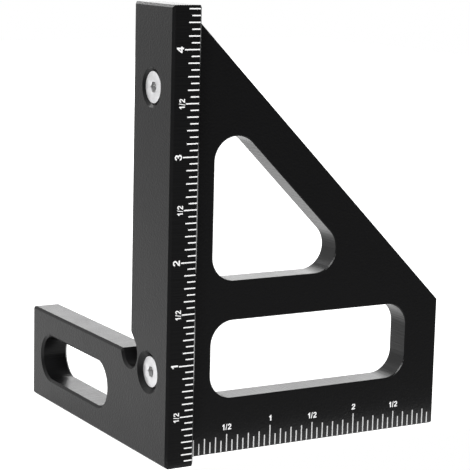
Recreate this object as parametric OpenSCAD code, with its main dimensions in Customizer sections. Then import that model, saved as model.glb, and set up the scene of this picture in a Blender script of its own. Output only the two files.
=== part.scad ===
// Bolted marking ruler. An angle bar, with an inch scale up its front and a slotted foot behind,
// carries a 45 degree plate with two windows and a second scale. Two countersunk screws go in
// from the bar's left face and thread into the plate's left rail.
// Millimetres. X runs right along the plate and Y runs back along the foot. The origin is on the
// base, at Z = 0, under the centre line of the upright bar.

/* [Angle bar] */
// Height of the upright bar
bar_height = 112; // [104:1:140]
// Width of the bar's front face, which is also the foot's thickness
bar_thickness = 7.8; // [6.4:0.2:12]
// Depth of the upright bar from front to back
bar_depth = 20; // [16:0.5:28]
// Reach of the foot from the bar's front face
foot_length = 80; // [74:1:110]
// Height of the foot
foot_height = 25; // [20:0.5:32]
// Radius of the foot's two end corners
foot_corner_r = 0.9; // [0.6:0.1:2]
// Edge break round both sides of the bar and the foot
bar_break = 0.6; // [0.2:0.1:0.8]

/* [Foot slot and corner relief] */
// Length of the round-ended slot through the foot
slot_length = 40.8; // [20:0.2:46]
// Height of the slot
slot_height = 12; // [8:0.2:14]
// Web between the slot and the foot's end
slot_end_web = 6.1; // [4:0.1:10]
// Diameter of the relief drilled at the inner corner
relief_d = 7.8; // [5:0.2:9]
// How far the relief's centre lies behind the bar's back
relief_back = 0.4; // [0:0.1:1]
// How far the relief's centre lies above the foot's top
relief_up = 0.1; // [0:0.1:1]
// Edge break between the relief and the foot's top
relief_break = 0.5; // [0.2:0.1:0.8]

/* [Plate] */
// How far the plate's upper corner lies below the bar's top
plate_top_drop = 1.3; // [0:0.1:4]
// Thickness of the plate
plate_thickness = 7; // [6:0.2:10]
// Height of the plate's right edge, where the 45 degree edge begins
plate_edge_height = 34; // [32:0.5:50]
// Radius of the plate's lower right corner
plate_corner_r = 1; // [0.4:0.1:3]
// Edge break round both faces of the plate and its windows
plate_break = 0.25; // [0.1:0.05:0.5]

/* [Windows] */
// Rail left of the windows, which takes the screws
left_rail = 7.9; // [7.4:0.1:12]
// Rail right of the lower window
right_rail = 10; // [6:0.2:14]
// Rail under the lower window, which carries the scale
bottom_rail = 14; // [10:0.2:16]
// Height of the lower window
lower_window_height = 19.9; // [14:0.1:24]
// Rail between the two windows
cross_rail = 10; // [6:0.2:14]
// Rail along the 45 degree edge, measured square to it
sloped_rail = 10; // [6:0.2:14]
// Corner radius of both windows
window_corner_r = 6.2; // [2:0.2:6.8]

/* [Screws] */
// Height of the lower screw above the base
screw_low_z = 22; // [20:0.2:26]
// Distance of the upper screw below the bar's top
screw_top_margin = 20; // [16:0.2:30]
// How far the screws lie behind the bar's centre line
screw_set_back = 0.45; // [0:0.05:0.6]
// Thread diameter
thread_d = 4; // [3:0.5:5]
// Depth of thread held in the plate by the lower screw
thread_hold = 5.1; // [4:0.1:5.4]
// Diameter of the flat head
head_d = 7.7; // [7:0.1:8.4]
// Height of the head's straight rim
head_rim = 0.6; // [0.2:0.1:0.8]
// How far the upper head lies below the bar's face
upper_sink = 0.4; // [0.1:0.05:1.2]
// How far the lower head lies below the bar's face
lower_sink = 0.9; // [0.1:0.05:1.2]
// Width across the flats of the hexagon socket
socket_af = 2.5; // [2:0.1:3]
// Depth of the hexagon socket
socket_depth = 1.5; // [1:0.1:1.8]
// Radial clearance round the shank and under the heads
screw_clearance = 0.05; // [0.03:0.01:0.1]

/* [Scales] */
// One inch
inch = 25.4; // [25.4]
// Divisions in each inch
divisions = 16; // [16]
// Width of each line
line_w = 0.3; // [0.2:0.05:0.4]
// Thickness of the white lines on the metal
line_film = 0.05; // [0.03:0.01:0.1]
// Longest lines of the bar's scale, on the inches
bar_inch_line = 4; // [3:0.1:5]
// Lines of the bar's scale on the half inches
bar_half_line = 3.5; // [2.5:0.1:4.5]
// Lines of the bar's scale on the quarters and eighths
bar_eighth_line = 3; // [2:0.1:4]
// Shortest lines of the bar's scale, on the sixteenths
bar_sixteenth_line = 2.2; // [1.5:0.1:3]
// Distance of the plate's zero line from the bar
plate_scale_start = 0.2; // [0.2:0.1:1]
// Longest lines of the plate's scale, on the inches
plate_inch_line = 5.3; // [4:0.1:6]
// Lines of the plate's scale on the half inches
plate_half_line = 4.5; // [3:0.1:5]
// Lines of the plate's scale on the quarters and eighths
plate_eighth_line = 4; // [3:0.1:4.5]
// Shortest lines of the plate's scale, on the sixteenths
plate_sixteenth_line = 2.9; // [2:0.1:3.5]

/* [Hidden] */
$fn = 96;

// Overrun of every cut beyond the face that it opens
cut_over = 1;
// How far the corner circles stand proud of an opening's sides, so that the faces cross cleanly
corner_blend = 0.01;
// Least gap between a scale's last line and the end of its edge
scale_end_gap = 0.8;

bar_colour = [0.16, 0.16, 0.17];
plate_colour = [0.12, 0.12, 0.13];
steel_colour = [0.8, 0.8, 0.82];
white_colour = [0.95, 0.95, 0.95];

// The plate's long edge falls at 45 degrees, so its length is the difference between its two heights
plate_left_height = bar_height - plate_top_drop;
plate_length = plate_left_height - plate_edge_height;
screw_high_z = bar_height - screw_top_margin;

// A 90 degree head: its cone is as high as the step in radius from rim to shank
head_cone = (head_d - thread_d) / 2;
thread_tip = thread_d / 8;
tap_runout = thread_d / 4;
shank_hole_d = thread_d + 2 * screw_clearance;
screw_length = bar_thickness + thread_hold - lower_sink;

// The bar's left front corner and the plate's, both on the base
bar_corner = [-bar_thickness / 2, -bar_depth / 2, 0];
plate_corner = [bar_thickness / 2, -plate_thickness / 2, 0];

bar_outline = [
    [0, 0],
    [0, bar_height],
    [bar_depth, bar_height],
    [bar_depth, foot_height],
    [foot_length, foot_height],
    [foot_length, 0],
];
plate_outline = [
    [0, 0],
    [0, plate_left_height],
    [plate_length, plate_edge_height],
    [plate_length, 0],
];

function window_corners_low() =
    let (r = window_corner_r, top = bottom_rail + lower_window_height)
    [
        [left_rail + r, bottom_rail + r],
        [plate_length - right_rail - r, bottom_rail + r],
        [plate_length - right_rail - r, top - r],
        [left_rail + r, top - r],
    ];

// The upper window's sloped side lies where X + Z reaches this sum
function slope_sum() = plate_left_height - sloped_rail * sqrt(2);

function window_corners_high() =
    let (
        r = window_corner_r,
        floor_z = bottom_rail + lower_window_height + cross_rail,
        reach = slope_sum() - r * sqrt(2)
    )
    [
        [left_rail + r, floor_z + r],
        [reach - floor_z - r, floor_z + r],
        [left_rail + r, reach - left_rail - r],
    ];

function slot_ends() =
    let (r = slot_height / 2, far = foot_length - slot_end_web - r)
    [[far - slot_length + 2 * r, foot_height / 2], [far, foot_height / 2]];

// Unit vector square to the edge from p to q, out of a counter-clockwise outline
function outward(p, q) = [q.y - p.y, p.x - q.x] / norm(q - p);

// Turns a profile drawn in Y and Z into a solid that starts at X = 0
module along_x(length) {
    rotate([90, 0, 90])
        linear_extrude(length)
            children();
}

// Turns a profile drawn in X and Z into a solid that starts at Y = 0
module along_y(length) {
    rotate([90, 0, 0])
        mirror([0, 0, 1])
            linear_extrude(length)
                children();
}

// Convex outline with round corners of radius r about the given centres, in counter-clockwise order
module round_outline(centres, r) {
    count = len(centres);
    polygon([
        for (i = [0:count - 1])
            let (p = centres[i], q = centres[(i + 1) % count], n = outward(p, q))
            for (end = [p, q])
                end + n * r
    ]);
    for (centre = centres)
        translate(centre)
            circle(r + corner_blend);
}

// Cutter that breaks one straight edge of a face at Z = 0, with the metal right of the line p to q
module edge_cutter(p, q, size) {
    direction = q - p;
    reach = norm(direction) + 2 * cut_over;
    translate([p.x, p.y, 0])
        rotate(atan2(direction.y, direction.x))
            translate([-cut_over, 0, 0])
                along_x(reach)
                    polygon([
                        [-size - cut_over, -cut_over],
                        [cut_over, -cut_over],
                        [cut_over, size + cut_over],
                    ]);
}

// Cutter that breaks the rim of a round-cornered opening in a face at Z = 0
module rim_cutter(centres, r, size) {
    count = len(centres);
    corner_r = r + corner_blend;
    for (i = [0:count - 1]) {
        p = centres[i];
        q = centres[(i + 1) % count];
        side = outward(p, q);
        translate([p.x, p.y, 0])
            cylinder(h = size, r1 = corner_r + size, r2 = corner_r);
        translate([p.x, p.y, 0])
            rotate(atan2(side.y, side.x))
                rotate([90, 0, 0])
                    mirror([0, 0, 1])
                        linear_extrude(norm(q - p))
                            polygon([[0, 0], [r + size, 0], [r, size], [0, size]]);
    }
}

// The same cutter on both faces of a body that lies between Z = 0 and Z = thickness
module on_both_faces(thickness) {
    children();
    translate([0, 0, thickness])
        mirror([0, 0, 1])
            children();
}

module corner_rounding(corner, x_sign, y_sign, r) {
    translate(corner)
        mirror([x_sign > 0 ? 0 : 1, 0])
            mirror([0, y_sign > 0 ? 0 : 1])
                difference() {
                    translate([-cut_over, -cut_over])
                        square(r + cut_over);
                    translate([r, r])
                        circle(r);
                }
}

function relief_centre() = [bar_depth + relief_back, foot_height + relief_up];

// Where the relief runs out at 45 degrees: on the bar's back, and on the relief itself
function relief_run() =
    let (
        tangent = relief_centre() + relief_d / 2 * [-sin(45), cos(45)],
        rise = bar_depth - tangent.x
    )
    [tangent + rise * [1, 1], tangent];

// The two ends of the edge break between the relief and the foot's top
function relief_lip() =
    let (far = relief_centre().x + sqrt(pow(relief_d / 2, 2) - pow(relief_up, 2)))
    [[far, foot_height - relief_break], [far + relief_break, foot_height]];

// Relief at the inner corner, with its run-out up the bar's back and its broken lip
module relief_outline() {
    centre = relief_centre();
    run = relief_run();
    lip = relief_lip();
    over = cut_over * [1, 1];
    translate(centre)
        circle(relief_d / 2);
    polygon([centre, run[1], run[0] + over, centre + [cut_over, 0]]);
    polygon([lip[0] - over, lip[1] + over, [lip[0].x - cut_over, lip[1].y + cut_over]]);
}

module screw_hole(z, sink) {
    rim_r = head_d / 2 + head_rim + sink + screw_clearance;
    hole_r = shank_hole_d / 2;
    translate([bar_corner.x, screw_set_back, z])
        rotate([0, 90, 0]) {
            cylinder(h = rim_r - hole_r, r1 = rim_r, r2 = hole_r);
            cylinder(h = bar_thickness + cut_over, r = hole_r);
        }
}

module angle_bar() {
    color(bar_colour)
        difference() {
            translate(bar_corner)
                along_x(bar_thickness)
                    difference() {
                        polygon(bar_outline);
                        round_outline(slot_ends(), slot_height / 2);
                        relief_outline();
                        corner_rounding([foot_length, 0], -1, 1, foot_corner_r);
                        corner_rounding([foot_length, foot_height], -1, -1, foot_corner_r);
                    }
            translate(bar_corner)
                rotate([90, 0, 90])
                    on_both_faces(bar_thickness)
                        bar_breaks();
            screw_hole(screw_low_z, lower_sink);
            screw_hole(screw_high_z, upper_sink);
        }
}

module bar_breaks() {
    count = len(bar_outline);
    for (i = [0:count - 1])
        edge_cutter(bar_outline[i], bar_outline[(i + 1) % count], bar_break);
    rim_cutter(slot_ends(), slot_height / 2, bar_break);
    edge_cutter(relief_run()[0], relief_run()[1], bar_break);
    edge_cutter(relief_lip()[0], relief_lip()[1], bar_break);
    translate(relief_centre())
        cylinder(h = bar_break, d1 = relief_d + 2 * bar_break, d2 = relief_d);
}

module tapped_hole(z, sink) {
    depth = screw_length + sink - bar_thickness + tap_runout;
    translate([-cut_over, plate_thickness / 2 + screw_set_back, z])
        rotate([0, 90, 0])
            cylinder(h = cut_over + depth, r = shank_hole_d / 2);
}

module triangle_plate() {
    color(plate_colour)
        translate(plate_corner)
            difference() {
                along_y(plate_thickness)
                    difference() {
                        polygon(plate_outline);
                        round_outline(window_corners_low(), window_corner_r);
                        round_outline(window_corners_high(), window_corner_r);
                        corner_rounding([plate_length, 0], -1, 1, plate_corner_r);
                    }
                rotate([90, 0, 0])
                    mirror([0, 0, 1])
                        on_both_faces(plate_thickness)
                            plate_breaks();
                tapped_hole(screw_low_z, lower_sink);
                tapped_hole(screw_high_z, upper_sink);
            }
}

module plate_breaks() {
    for (i = [1:len(plate_outline) - 1])
        edge_cutter(plate_outline[i], plate_outline[(i + 1) % len(plate_outline)], plate_break);
    rim_cutter(window_corners_low(), window_corner_r, plate_break);
    rim_cutter(window_corners_high(), window_corner_r, plate_break);
}

// Flat-headed socket screw along X, with its head towards the left
module flat_screw(z, sink) {
    shank_r = thread_d / 2;
    head_r = head_d / 2;
    cone_end = head_rim + head_cone;
    color(steel_colour)
        translate([bar_corner.x + sink, screw_set_back, z])
            rotate([0, 90, 0])
                difference() {
                    rotate_extrude()
                        polygon([
                            [0, 0],
                            [head_r, 0],
                            [head_r, head_rim],
                            [shank_r, cone_end],
                            [shank_r, screw_length - thread_tip],
                            [shank_r - thread_tip, screw_length],
                            [0, screw_length],
                        ]);
                    translate([0, 0, -cut_over])
                        cylinder(h = socket_depth + cut_over, d = socket_af / cos(30), $fn = 6);
                }
}

module upper_screw() {
    flat_screw(screw_high_z, upper_sink);
}

module lower_screw() {
    flat_screw(screw_low_z, lower_sink);
}

// Length of the line at a step of the scale, from the longest list entry to the shortest
function line_length(step, lengths) =
    step % divisions == 0 ? lengths[0]
    : step % (divisions / 2) == 0 ? lengths[1]
    : step % 2 == 0 ? lengths[2]
    : lengths[3];

function last_step(edge) = floor((edge - scale_end_gap) / inch * divisions);

module bar_scale() {
    lengths = [bar_inch_line, bar_half_line, bar_eighth_line, bar_sixteenth_line];
    color(white_colour)
        for (step = [1:last_step(bar_height)]) {
            reach = line_length(step, lengths);
            height = step * inch / divisions - line_w / 2;
            translate(bar_corner + [bar_thickness - bar_break - reach, -line_film, height])
                cube([reach, line_film, line_w]);
        }
}

// The zero line stands against the bar and is as long as an eighth
module plate_scale() {
    lengths = [plate_inch_line, plate_half_line, plate_eighth_line, plate_sixteenth_line];
    color(white_colour)
        for (step = [0:last_step(plate_length - plate_scale_start)]) {
            reach = step == 0 ? plate_eighth_line : line_length(step, lengths);
            along = plate_scale_start + step * inch / divisions - line_w / 2;
            translate(plate_corner + [along, -line_film, plate_break])
                cube([line_w, line_film, reach]);
        }
}

angle_bar();
triangle_plate();
upper_screw();
lower_screw();
bar_scale();
plate_scale();
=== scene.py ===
"""Looks of the bolted marking ruler: finishes, scale numbers, threaded screws, floor, light and camera.

Lengths are in millimetres, and MM turns them into Blender's metres. The few that are in metres say so.
"""

import math

import bmesh
import bpy
from mathutils import Matrix, Vector


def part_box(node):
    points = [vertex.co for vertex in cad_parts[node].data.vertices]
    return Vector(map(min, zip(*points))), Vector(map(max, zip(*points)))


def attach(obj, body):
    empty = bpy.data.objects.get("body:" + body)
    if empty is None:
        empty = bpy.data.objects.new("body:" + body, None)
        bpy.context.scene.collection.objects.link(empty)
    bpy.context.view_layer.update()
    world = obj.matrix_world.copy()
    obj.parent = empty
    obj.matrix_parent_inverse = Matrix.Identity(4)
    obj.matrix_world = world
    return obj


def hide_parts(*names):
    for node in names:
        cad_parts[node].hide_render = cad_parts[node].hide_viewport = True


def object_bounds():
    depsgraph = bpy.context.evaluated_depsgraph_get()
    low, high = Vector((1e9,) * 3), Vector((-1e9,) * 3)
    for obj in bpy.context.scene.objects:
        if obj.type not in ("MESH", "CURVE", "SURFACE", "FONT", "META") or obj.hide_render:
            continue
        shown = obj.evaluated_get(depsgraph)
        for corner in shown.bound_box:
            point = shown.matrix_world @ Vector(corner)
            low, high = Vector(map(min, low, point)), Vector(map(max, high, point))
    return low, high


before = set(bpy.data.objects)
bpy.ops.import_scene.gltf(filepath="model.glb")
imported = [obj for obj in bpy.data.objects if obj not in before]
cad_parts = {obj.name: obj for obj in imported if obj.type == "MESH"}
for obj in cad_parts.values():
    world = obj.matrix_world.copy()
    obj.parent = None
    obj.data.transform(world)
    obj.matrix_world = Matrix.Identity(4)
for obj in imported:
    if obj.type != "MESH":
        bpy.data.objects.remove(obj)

MM = 0.001
cad_low, cad_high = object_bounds()

# Photograph's camera: focal length for a 36 mm sensor, place, heading, downward tilt and roll, and the
# nearest and furthest that it sees, in metres
LENS = 134.65
SENSOR = 36.0
CAMERA_PLACE = Vector((-197.19, -372.50, 129.02))
HEADING = math.radians(30.23)
TILT = math.radians(9.782)
ROLL = math.radians(1.391)
CLIP_START = 0.01
CLIP_END = 20

# Linear colours
ANODISED_BLACK = (0.0045, 0.0045, 0.0048, 1)
STEEL_GREY = (0.90, 0.90, 0.91, 1)
# Painted shade: the darker grey that stands in for the shade inside the screws' sockets
SOCKET_SHADE_GREY = (0.62, 0.62, 0.62, 1)
MARK_WHITE = (0.90, 0.90, 0.90, 1)
THIN_WHITE = (0.60, 0.60, 0.60, 1)
FLOOR_WHITE = (0.86, 0.86, 0.86, 1)
PURE_WHITE = (1, 1, 1, 1)

# Shares of its colour between which each finish varies
ANODISED_TINT = (0.8, 1.2)
STEEL_TINT = (0.93, 1.05)
MARK_TINT = (0.96, 1.04)
FLOOR_TINT = (0.995, 1.005)

# Noises: their scales, for places in metres, their levels of detail, and the values they mostly take
BLAST_SCALE = 9000.0
TOOL_MARK_SCALE = 2200.0
PATCH_SCALE = 90.0
PLATING_SCALE = 700.0
MARK_SCALE = 4000.0
FLOOR_SCALE = 12.0
NOISE_DETAIL = 2.0
PLATING_DETAIL = 3.0
NOISE_VALUES = (0.3, 0.7)

# Turning rings on the screws
RING_SCALE = 900.0
RING_DISTORTION = 1.2
RING_DETAIL = 2.0

# Bumps: strength, and depth in metres
BLAST_BUMP = (0.12, 0.00002)
TOOL_MARK_BUMP = (0.7, 0.0001)
RING_BUMP = (0.15, 0.00001)

# Milling marks are long: places along the cutter's axis count for this share in their noise
TOOL_MARK_STRETCH = 0.03

# Gloss
ANODISED_ROUGHNESS = (0.28, 0.32)
ANODISED_SPECULAR = 0.3
STEEL_ROUGHNESS = (0.36, 0.44)
MARK_ROUGHNESS = 0.6

# Sockets of Blender's Mix node: its factor, its two numbers and two colours, and its results
MIX_FACTOR = 0
MIX_NUMBERS = (2, 3)
MIX_COLOURS = (6, 7)
MIXED_NUMBER = 0
MIXED_COLOUR = 2

# Floor's corners in metres, and what its colour is lifted by: for the camera, and for mirrored rays,
# whose lift is a painted reflection, a glow that only mirrored rays see, growing from nothing over a
# stretch along X, in metres
FLOOR_LOW = (-0.8, -0.012)
FLOOR_HIGH = (1.0, 1.5)
FLOOR_LIFT = 0.8
PAINTED_REFLECTION_LIFT = 1.0
PAINTED_REFLECTION_STRETCH = (-0.01, 0.06)

# Brightness of the white world: for the light that it gives, and as mirrored from four sides
AMBIENT = 0.4
BACK_LEFT_LEVEL = 0.87
BACK_RIGHT_LEVEL = 0.2
FRONT_LEVEL = 0.0
FRONT_LOW_LEVEL = 0.3

# Where a mirrored ray's direction goes from one side to the next: from left to right at the back, from
# below to level at the front, and from front to back
BACK_CHANGE = (-0.45, 0.15)
FRONT_CHANGE = (-0.3, 0.0)
DEPTH_CHANGE = (-0.35, 0.25)

# Soft lamps: place, target, and width and height, in metres, and watts. The edge lamp only shows in
# the edge breaks at the bar's top
MIDDLE = tuple((cad_low + cad_high) / 2)
LAMPS = {
    "key": ((-0.45, -0.75, 0.75), MIDDLE, (0.6, 0.6), 15.0),
    "back": ((0.65, 1.1, 0.5), MIDDLE, (0.9, 0.7), 5.0),
    "edge": ((-0.04, 0.2, 0.23), (0, 0, 0.112), (0.06, 0.06), 0.06),
}

# Scale numbers: thickness of the white film, how many half inches are numbered, and digits' heights
INCH = 25.4
FILM = 0.05
BAR_HALVES = 8
BAR_DIGIT = 1.85
BAR_HALF_DIGIT = 1.5
PLATE_HALVES = 5
PLATE_DIGIT = 1.5

# Their widths, as shares of the plain outlines, for inches and for halves
INCH_WIDTH = 1.12
BAR_HALF_WIDTH = 0.92
PLATE_HALF_WIDTH = 1.0

# Their places: feet of the digits across the bar, start of the plate's scale, its lowest edge break, the
# length of its lines and the gap above them
BAR_DIGIT_BASE = -1.0
BAR_HALF_BASE = -0.45
PLATE_SCALE_START = 0.2
PLATE_BREAK = 0.25
PLATE_HALF_LINE = 4.5
PLATE_INCH_LINE = 5.3
PLATE_DIGIT_GAP = 1.1

# Steps of each curved stretch of a digit, and how close two points are joined, for a height of one
GLYPH_STEPS = 5
GLYPH_WELD = 0.0005

# Screw: head, shank and tip
HEAD_RIM = 0.6
HEAD_EDGE = 0.06
SHANK_R = 2.0
TIP_CHAMFER = 0.5

# Middle of the head's round edge: how far inside its face and its rim, as a share of the edge's size
EDGE_MIDDLE = 0.3

# Hexagon socket, with a lead at its mouth and a drill point, and how far the painted shade inside it
# reaches
SOCKET_AF = 2.5
SOCKET_DEPTH = 1.5
SOCKET_LEAD = 0.15
SOCKET_POINT = 0.35
SOCKET_SHADE_REACH = 1.5

# Metric coarse thread: its pitch and depth, half its ridge's width at the crest and at the foot, and how
# deep the foot is sunk into the core
PITCH = 0.7
THREAD_DEPTH = 0.43
THREAD_CREST = PITCH / 16
THREAD_FOOT = 0.47 * PITCH
THREAD_SINK = 0.04
CORE_R = SHANK_R - THREAD_DEPTH

# At both ends the ridge rises from its least height, as a share of the whole, over so many turns
THREAD_LEAST = 0.02
THREAD_TAPER_TURNS = 0.6

# Points round a screw, and for each turn of its thread, and the angle from which an edge is sharp
RING_POINTS = 96
THREAD_STEPS = 60
SHARP_ANGLE = math.radians(25)


# Nodes

def node_adder(owner):
    """Empties a material's or world's nodes, and gives a function that adds one with its inputs."""
    owner.use_nodes = True
    tree = owner.node_tree
    tree.nodes.clear()

    def add(kind, inputs=None, **settings):
        node = tree.nodes.new(kind)
        for key, value in settings.items():
            setattr(node, key, value)
        for key, value in (inputs or {}).items():
            if isinstance(value, bpy.types.NodeSocket):
                tree.links.new(value, node.inputs[key])
            else:
                node.inputs[key].default_value = value
        return node

    return add


def new_material(name):
    material = bpy.data.materials.new(name)
    return material, node_adder(material)


def object_place(add):
    return add("ShaderNodeTexCoord").outputs["Object"]


def maths(add, operation, first, second):
    """One number from two."""
    return add("ShaderNodeMath", {0: first, 1: second}, operation=operation).outputs["Value"]


def scaled(add, place, shares):
    """A place with each of its coordinates multiplied by a share."""
    return add("ShaderNodeVectorMath", {0: place, 1: shares}, operation="MULTIPLY").outputs["Vector"]


def mix_numbers(add, factor, first, second):
    low, high = MIX_NUMBERS
    node = add("ShaderNodeMix", {MIX_FACTOR: factor, low: first, high: second})
    return node.outputs[MIXED_NUMBER]


def mix_colours(add, factor, first, second):
    low, high = MIX_COLOURS
    node = add("ShaderNodeMix", {MIX_FACTOR: factor, low: first, high: second}, data_type="RGBA")
    return node.outputs[MIXED_COLOUR]


def ramp(add, value, stretch, low, high, shape="LINEAR"):
    """Goes from low to high as the value goes over a stretch."""
    first, last = stretch
    node = add("ShaderNodeMapRange", {
        "Value": value, "From Min": first, "From Max": last, "To Min": low, "To Max": high,
    }, interpolation_type=shape)
    return node.outputs["Result"]


def smooth_ramp(add, value, stretch, low, high):
    return ramp(add, value, stretch, low, high, "SMOOTHSTEP")


def noise(add, place, scale, detail=NOISE_DETAIL):
    return add("ShaderNodeTexNoise", {"Vector": place, "Scale": scale, "Detail": detail}).outputs["Fac"]


def spread(add, factor, limits):
    """Maps the values that a noise mostly takes to other limits."""
    low, high = limits
    return ramp(add, factor, NOISE_VALUES, low, high)


def tinted(add, factor, colour, tint):
    """A colour whose brightness varies with a noise."""
    dark, light = [tuple(c * share for c in colour[:3]) + (1,) for share in tint]
    return mix_colours(add, spread(add, factor, (0.0, 1.0)), dark, light)


def bump(add, height, size, under=None):
    """Normals bumped by a height, on top of other bumped normals if there are any."""
    strength, depth = size
    inputs = {"Height": height, "Strength": strength, "Distance": depth}
    if under is not None:
        inputs["Normal"] = under
    return add("ShaderNodeBump", inputs).outputs["Normal"]


def finish_with(add, inputs):
    """Ends a material with one principled shader."""
    shader = add("ShaderNodeBsdfPrincipled", inputs)
    add("ShaderNodeOutputMaterial", {"Surface": shader.outputs["BSDF"]})


# Materials

def anodised(name, mark_shares):
    """Milled aluminium with a satin black oxide layer. Its marks are long where a share is small."""
    material, add = new_material(name)
    place = object_place(add)
    grain = noise(add, place, BLAST_SCALE)
    marks = noise(add, scaled(add, place, mark_shares), TOOL_MARK_SCALE)
    patches = noise(add, place, PATCH_SCALE)
    blasted = bump(add, grain, BLAST_BUMP)
    finish_with(add, {
        "Base Color": tinted(add, grain, ANODISED_BLACK, ANODISED_TINT),
        "Roughness": spread(add, patches, ANODISED_ROUGHNESS),
        "Specular IOR Level": ANODISED_SPECULAR,
        "Normal": bump(add, marks, TOOL_MARK_BUMP, blasted),
    })
    return material


def bright_steel(name):
    """Zinc-plated steel with fine turning rings, and painted shade: a darker grey inside the socket's
    recess.
    """
    material, add = new_material(name)
    place = object_place(add)
    rings = add("ShaderNodeTexWave", {
        "Vector": place, "Scale": RING_SCALE, "Distortion": RING_DISTORTION, "Detail": RING_DETAIL,
    }, wave_type="RINGS", rings_direction="X").outputs["Fac"]
    plating = noise(add, place, PLATING_SCALE, PLATING_DETAIL)
    plain = tinted(add, plating, STEEL_GREY, STEEL_TINT)
    depth = add("ShaderNodeSeparateXYZ", {"Vector": place}).outputs["X"]
    from_axis = scaled(add, place, (0, 1, 1))
    radius = add("ShaderNodeVectorMath", {0: from_axis}, operation="LENGTH").outputs["Value"]
    # Painted shade: inside the socket, past its lead, the colour turns darker grey to stand in for the
    # recess's shade
    inside = maths(add, "LESS_THAN", radius, SOCKET_SHADE_REACH * MM)
    below = maths(add, "GREATER_THAN", depth, SOCKET_LEAD * MM)
    painted_socket_shade = maths(add, "MULTIPLY", inside, below)
    finish_with(add, {
        "Base Color": mix_colours(add, painted_socket_shade, plain, SOCKET_SHADE_GREY),
        "Metallic": 1.0,
        "Roughness": spread(add, rings, STEEL_ROUGHNESS),
        "Normal": bump(add, rings, RING_BUMP),
    })
    return material


def marking(name, colour):
    """Matt white scale marking with a faint unevenness."""
    material, add = new_material(name)
    cloud = noise(add, object_place(add), MARK_SCALE)
    finish_with(add, {
        "Base Color": tinted(add, cloud, colour, MARK_TINT),
        "Roughness": MARK_ROUGHNESS,
    })
    return material


def seen_ray(add):
    """One for camera, glossy and transmission rays, and nought for the rays that light the object."""
    rays = add("ShaderNodeLightPath").outputs
    first = maths(add, "MAXIMUM", rays["Is Camera Ray"], rays["Is Glossy Ray"])
    return maths(add, "MAXIMUM", first, rays["Is Transmission Ray"])


def camera_ray(add):
    return add("ShaderNodeLightPath").outputs["Is Camera Ray"]


def floor_white(name):
    """Pale plain floor, lifted to white for the camera, with a painted reflection: its right part glows
    for mirrored rays.
    """
    material, add = new_material(name)
    place = object_place(add)
    cloud = noise(add, place, FLOOR_SCALE)
    matt = add("ShaderNodeBsdfDiffuse", {"Color": tinted(add, cloud, FLOOR_WHITE, FLOOR_TINT)})
    across = add("ShaderNodeSeparateXYZ", {"Vector": place}).outputs["X"]
    # Painted reflection: the floor's right part glows for mirrored rays only, which brightens the
    # object's faces that mirror it
    white = smooth_ramp(add, across, PAINTED_REFLECTION_STRETCH, 0.0, PAINTED_REFLECTION_LIFT)
    mirrored = maths(add, "MULTIPLY", seen_ray(add), white)
    lift = mix_numbers(add, camera_ray(add), mirrored, FLOOR_LIFT)
    glow = add("ShaderNodeEmission", {"Strength": lift})
    both = add("ShaderNodeAddShader", {0: matt.outputs["BSDF"], 1: glow.outputs["Emission"]})
    add("ShaderNodeOutputMaterial", {"Surface": both.outputs["Shader"]})
    return material


# Screws

def new_piece(name, mesh, material, body):
    piece = bpy.data.objects.new(name, mesh)
    bpy.context.collection.objects.link(piece)
    mesh.materials.append(material)
    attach(piece, body)
    return piece


def neighbours(count):
    """Each place in a closed loop with the next one."""
    return [(i, (i + 1) % count) for i in range(count)]


def ring(bm, x, radius_at):
    """A ring of points about the X axis, with a radius for each angle."""
    points = []
    for i in range(RING_POINTS):
        angle = 2 * math.pi * i / RING_POINTS
        r = radius_at(angle) * MM
        points.append(bm.verts.new((x * MM, r * math.cos(angle), r * math.sin(angle))))
    return points


def skin(bm, first, second):
    """Faces between two rings, which look outward where the second is further along X."""
    for i, j in neighbours(RING_POINTS):
        bm.faces.new((first[i], first[j], second[j], second[i]))


def cap(bm, points, x, forward):
    """Closes a ring with a fan to a point on the axis. Its faces look forward along X, or back."""
    tip = bm.verts.new((x * MM, 0, 0))
    for i, j in neighbours(RING_POINTS):
        bm.faces.new((points[i], points[j], tip) if forward else (points[i], tip, points[j]))


def hexagon(across_flats):
    """Radius of a hexagon at an angle."""
    sector = math.pi / 3
    return lambda angle: across_flats / 2 / math.cos(angle % sector - sector / 2)


def circle(radius):
    return lambda angle: radius


def screw_body(bm, head_r, length):
    """Core, cone, head and socket as one closed skin of rings. Gives the thread's start and end."""
    cone_end = HEAD_RIM + head_r - SHANK_R
    thread_start = cone_end + HEAD_EDGE
    thread_end = length - TIP_CHAMFER + THREAD_DEPTH
    socket = hexagon(SOCKET_AF)
    lead_r = SOCKET_AF / 2 / math.cos(math.pi / 6) + SOCKET_LEAD
    profile = [
        (SOCKET_DEPTH, socket),
        (SOCKET_LEAD, socket),
        (0, circle(lead_r)),
        (0, circle(head_r - HEAD_EDGE)),
        (HEAD_EDGE * EDGE_MIDDLE, circle(head_r - HEAD_EDGE * EDGE_MIDDLE)),
        (HEAD_EDGE, circle(head_r)),
        (HEAD_RIM, circle(head_r)),
        (cone_end, circle(SHANK_R)),
        (thread_start, circle(SHANK_R)),
        (thread_start + THREAD_DEPTH, circle(CORE_R)),
        (thread_end, circle(CORE_R)),
        (length, circle(SHANK_R - TIP_CHAMFER)),
    ]
    rings = [ring(bm, x, radius_at) for x, radius_at in profile]
    for first, second in zip(rings, rings[1:]):
        skin(bm, first, second)
    cap(bm, rings[0], SOCKET_DEPTH + SOCKET_POINT, forward=False)
    cap(bm, rings[-1], length, forward=True)
    return thread_start, thread_end


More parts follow.
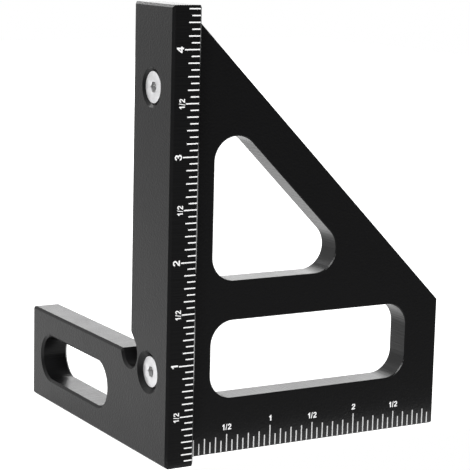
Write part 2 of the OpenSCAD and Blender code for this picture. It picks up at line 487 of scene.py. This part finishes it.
def thread_ridge(bm, thread_start, thread_end):
    """The thread's ridge: a closed four-sided strip that follows the helix and tapers at both ends."""
    start = thread_start + THREAD_FOOT
    end = thread_end - THREAD_FOOT
    turns = (end - start) / PITCH
    foot_r = CORE_R - THREAD_SINK
    loops = []
    for k in range(round(turns * THREAD_STEPS) + 1):
        turn = k / THREAD_STEPS
        angle = 2 * math.pi * turn
        x = start + turn * PITCH
        rise = min(1.0, turn / THREAD_TAPER_TURNS, (turns - turn) / THREAD_TAPER_TURNS)
        tip_limit = SHANK_R - max(0.0, x - (end - TIP_CHAMFER))
        crest_r = min(CORE_R + THREAD_DEPTH * max(rise, THREAD_LEAST), tip_limit)
        section = [
            (-THREAD_FOOT, foot_r), (-THREAD_CREST, crest_r),
            (THREAD_CREST, crest_r), (THREAD_FOOT, foot_r),
        ]
        loops.append([
            bm.verts.new((
                (x + along) * MM,
                r * math.cos(angle) * MM,
                r * math.sin(angle) * MM,
            ))
            for along, r in section
        ])
    for first, second in zip(loops, loops[1:]):
        for i, j in neighbours(len(first)):
            bm.faces.new((first[i], second[i], second[j], first[j]))
    bm.faces.new(loops[0])
    bm.faces.new(list(reversed(loops[-1])))


def threaded_screw(name, node, body, material):
    """Socket screw in a CAD screw's place, with its thread, socket and edge breaks."""
    low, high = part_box(node)
    head_r = (high.z - low.z) / 2 / MM
    length = (high.x - low.x) / MM
    bm = bmesh.new()
    thread_start, thread_end = screw_body(bm, head_r, length)
    thread_ridge(bm, thread_start, thread_end)
    mesh = bpy.data.meshes.new(name)
    bm.to_mesh(mesh)
    bm.free()
    mesh.set_sharp_from_angle(angle=SHARP_ANGLE)
    for face in mesh.polygons:
        face.use_smooth = True
    piece = new_piece(name, mesh, material, body)
    piece.location = (low.x, (low.y + high.y) / 2, (low.z + high.z) / 2)
    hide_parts(node)


# Scale numbers

# Their outlines, for a height of one: each point has its place and whether it is smooth
GLYPHS = {
    "1": [[
        (0.19, 0, 0), (0.39, 0, 0), (0.39, 1, 0), (0.225, 1, 0), (0.15, 0.88, 1), (0, 0.77, 0),
        (0, 0.59, 0), (0.11, 0.635, 1), (0.19, 0.69, 0),
    ]],
    "2": [[
        (0, 0, 0), (0.66, 0, 0), (0.66, 0.18, 0), (0.28, 0.18, 0), (0.36, 0.275, 1), (0.5, 0.4, 1),
        (0.62, 0.545, 1), (0.655, 0.71, 1), (0.57, 0.92, 1), (0.345, 1, 1), (0.12, 0.93, 1),
        (0.03, 0.7, 0), (0.22, 0.68, 0), (0.255, 0.795, 1), (0.345, 0.84, 1), (0.435, 0.8, 1),
        (0.465, 0.7, 1), (0.42, 0.575, 1), (0.27, 0.42, 1), (0.07, 0.2, 1),
    ]],
    "3": [[
        (0, 0.28, 0), (0.1, 0.06, 1), (0.325, -0.015, 1), (0.57, 0.07, 1), (0.66, 0.285, 1),
        (0.62, 0.425, 1), (0.505, 0.515, 0), (0.595, 0.6, 1), (0.63, 0.735, 1), (0.55, 0.925, 1),
        (0.32, 1, 1), (0.11, 0.93, 1), (0.02, 0.735, 0), (0.205, 0.705, 0), (0.24, 0.8, 1),
        (0.325, 0.84, 1), (0.41, 0.805, 1), (0.44, 0.72, 1), (0.4, 0.63, 1), (0.27, 0.59, 0),
        (0.25, 0.44, 0), (0.34, 0.455, 1), (0.43, 0.41, 1), (0.465, 0.295, 1), (0.425, 0.175, 1),
        (0.325, 0.135, 1), (0.235, 0.175, 1), (0.19, 0.3, 0),
    ]],
    "4": [[
        (0.4, 0, 0), (0.59, 0, 0), (0.59, 0.2, 0), (0.71, 0.2, 0), (0.71, 0.37, 0), (0.59, 0.37, 0),
        (0.59, 1, 0), (0.43, 1, 0), (0, 0.37, 0), (0, 0.2, 0), (0.4, 0.2, 0),
    ], [
        (0.4, 0.37, 0), (0.185, 0.37, 0), (0.4, 0.7, 0),
    ]],
    "/": [[(0, -0.02, 0), (0.13, -0.02, 0), (0.34, 1.02, 0), (0.21, 1.02, 0)]],
}

# How far on the next sign starts
GLYPH_STEP = {"1": 0.6, "/": 0.44, "2": 0.74, "3": 0.74, "4": 0.78}


def number_mesh(text, height, width):
    """A flat mesh of the text, centred along its line and standing on zero."""
    curve = bpy.data.curves.new("number", "CURVE")
    curve.dimensions = "2D"
    curve.fill_mode = "BOTH"
    curve.resolution_u = GLYPH_STEPS
    start = 0
    for sign in text:
        for outline in GLYPHS[sign]:
            spline = curve.splines.new("BEZIER")
            spline.use_cyclic_u = True
            spline.bezier_points.add(len(outline) - 1)
            for point, (x, y, smooth) in zip(spline.bezier_points, outline):
                point.co = (start + x, y, 0)
                point.handle_left_type = "AUTO" if smooth else "VECTOR"
                point.handle_right_type = "AUTO" if smooth else "VECTOR"
        start += GLYPH_STEP[sign]
    holder = bpy.data.objects.new("number", curve)
    bpy.context.collection.objects.link(holder)
    graph = bpy.context.evaluated_depsgraph_get()
    mesh = bpy.data.meshes.new_from_object(holder.evaluated_get(graph))
    bpy.data.objects.remove(holder)
    bpy.data.curves.remove(curve)
    bm = bmesh.new()
    bm.from_mesh(mesh)
    bpy.data.meshes.remove(mesh)
    bmesh.ops.remove_doubles(bm, verts=bm.verts, dist=GLYPH_WELD)
    left = min(v.co.x for v in bm.verts)
    right = max(v.co.x for v in bm.verts)
    for v in bm.verts:
        v.co = Vector(((v.co.x - (left + right) / 2) * height * width, v.co.y * height, 0))
    return bm


def numbers(name, labels, place, body, material):
    """One piece of thin white numbers. place(step) gives a matrix from text to object space."""
    whole = bmesh.new()
    for text, step, height, width in labels:
        part = number_mesh(text, height, width)
        made = bmesh.ops.extrude_face_region(part, geom=part.faces[:])
        for element in made["geom"]:
            if isinstance(element, bmesh.types.BMVert):
                element.co.z += FILM
        bmesh.ops.recalc_face_normals(part, faces=part.faces)
        bmesh.ops.transform(part, matrix=place(step), verts=part.verts)
        mesh = bpy.data.meshes.new("part")
        part.to_mesh(mesh)
        part.free()
        whole.from_mesh(mesh)
        bpy.data.meshes.remove(mesh)
    mesh = bpy.data.meshes.new(name)
    whole.to_mesh(mesh)
    whole.free()
    new_piece(name, mesh, material, body)


def inch_labels(halves, height, half_height, half_width):
    """Text, place in inches, height and width of each number: whole inches, with halves between."""
    made = []
    for half in range(1, halves + 1):
        if half % 2 == 0:
            made.append((str(half // 2), half / 2, height, INCH_WIDTH))
        else:
            made.append(("1/2", half / 2, half_height, half_width))
    return made


bar_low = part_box("angle_bar")[0]
plate_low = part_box("triangle_plate")[0]


def text_to(place, right, up):
    """Takes text to a place in metres, with its right and its top along two axes."""
    turn = Matrix((right, up, right.cross(up))).transposed()
    return Matrix.Translation(place) @ Matrix.Scale(MM, 4) @ turn.to_4x4()


def on_bar(step):
    """Reads upwards: the text's right points up, and its top points left."""
    base = BAR_DIGIT_BASE if step.is_integer() else BAR_HALF_BASE
    place = (base * MM, bar_low.y, step * INCH * MM)
    return text_to(place, Vector((0, 0, 1)), Vector((-1, 0, 0)))


def on_plate(step):
    """Reads to the right, above the line of its step."""
    line = PLATE_INCH_LINE if step.is_integer() else PLATE_HALF_LINE
    rise = (PLATE_BREAK + line + PLATE_DIGIT_GAP) * MM
    along = (PLATE_SCALE_START + step * INCH) * MM
    place = (plate_low.x + along, plate_low.y, rise)
    return text_to(place, Vector((1, 0, 0)), Vector((0, 0, 1)))


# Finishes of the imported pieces, and the new pieces

def finish_node(node, material):
    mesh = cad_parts[node].data
    mesh.materials.clear()
    mesh.materials.append(material)


bar_finish = anodised("anodised_bar", (TOOL_MARK_STRETCH, 1, 1))
plate_finish = anodised("anodised_plate", (1, TOOL_MARK_STRETCH, 1))
steel = bright_steel("screw_steel")
white = marking("scale_white", MARK_WHITE)
thin_white = marking("scale_white_thin", THIN_WHITE)
finish_node("angle_bar", bar_finish)
finish_node("triangle_plate", plate_finish)
finish_node("bar_scale", white)
finish_node("plate_scale", thin_white)

threaded_screw("upper_socket_screw", "upper_screw", "upper_screw_body", steel)
threaded_screw("lower_socket_screw", "lower_screw", "lower_screw_body", steel)

bar_labels = inch_labels(BAR_HALVES, BAR_DIGIT, BAR_HALF_DIGIT, BAR_HALF_WIDTH)
plate_labels = inch_labels(PLATE_HALVES, PLATE_DIGIT, PLATE_DIGIT, PLATE_HALF_WIDTH)
numbers("bar_numbers", bar_labels, on_bar, "bar_body", white)
numbers("plate_numbers", plate_labels, on_plate, "plate_body", white)


# Floor, light and camera

def make_floor():
    mesh = bpy.data.meshes.new("floor")
    bm = bmesh.new()
    corners = [
        (FLOOR_LOW[0], FLOOR_LOW[1], 0), (FLOOR_HIGH[0], FLOOR_LOW[1], 0),
        (FLOOR_HIGH[0], FLOOR_HIGH[1], 0), (FLOOR_LOW[0], FLOOR_HIGH[1], 0),
    ]
    bm.faces.new([bm.verts.new(c) for c in corners])
    bm.to_mesh(mesh)
    bm.free()
    floor = bpy.data.objects.new("floor", mesh)
    bpy.context.collection.objects.link(floor)
    mesh.materials.append(floor_white("floor_white"))


def soft_box(name, place, target, size, watts):
    lamp = bpy.data.lights.new(name, "AREA")
    lamp.shape = "RECTANGLE"
    lamp.size, lamp.size_y = size
    lamp.energy = watts
    holder = bpy.data.objects.new(name, lamp)
    bpy.context.collection.objects.link(holder)
    holder.location = place
    holder.rotation_mode = "QUATERNION"
    holder.rotation_quaternion = (Vector(target) - Vector(place)).to_track_quat("-Z", "Y")
    holder.visible_camera = False


def make_world():
    """White for the camera, even for the light that it gives, and with levels for mirrored rays."""
    world = bpy.data.worlds.new("studio")
    add = node_adder(world)
    direction = add("ShaderNodeTexCoord").outputs["Generated"]
    towards = add("ShaderNodeSeparateXYZ", {"Vector": direction}).outputs
    behind = smooth_ramp(add, towards["X"], BACK_CHANGE, BACK_LEFT_LEVEL, BACK_RIGHT_LEVEL)
    ahead = smooth_ramp(add, towards["Z"], FRONT_CHANGE, FRONT_LOW_LEVEL, FRONT_LEVEL)
    depth = smooth_ramp(add, towards["Y"], DEPTH_CHANGE, 0, 1)
    mirrored = mix_numbers(add, depth, ahead, behind)
    level = mix_numbers(add, seen_ray(add), AMBIENT, mirrored)
    level = mix_numbers(add, camera_ray(add), level, 1.0)
    light = add("ShaderNodeBackground", {"Color": PURE_WHITE, "Strength": level})
    add("ShaderNodeOutputWorld", {"Surface": light.outputs["Background"]})
    bpy.context.scene.world = world


def make_camera():
    data = bpy.data.cameras.new("camera")
    data.lens = LENS
    data.sensor_width = SENSOR
    data.clip_start = CLIP_START
    data.clip_end = CLIP_END
    camera = bpy.data.objects.new("camera", data)
    bpy.context.collection.objects.link(camera)
    forward = Vector((
        math.sin(HEADING) * math.cos(TILT),
        math.cos(HEADING) * math.cos(TILT),
        -math.sin(TILT),
    ))
    level_right = Vector((math.cos(HEADING), -math.sin(HEADING), 0))
    right = Matrix.Rotation(-ROLL, 3, forward) @ level_right
    up = right.cross(forward)
    turn = Matrix((right, up, -forward)).transposed()
    camera.matrix_world = Matrix.Translation(CAMERA_PLACE * MM) @ turn.to_4x4()
    bpy.context.scene.camera = camera


make_floor()
make_world()
for name, (place, target, size, watts) in LAMPS.items():
    soft_box(name, place, target, size, watts)
make_camera()
bpy.context.scene.view_settings.view_transform = "Standard"
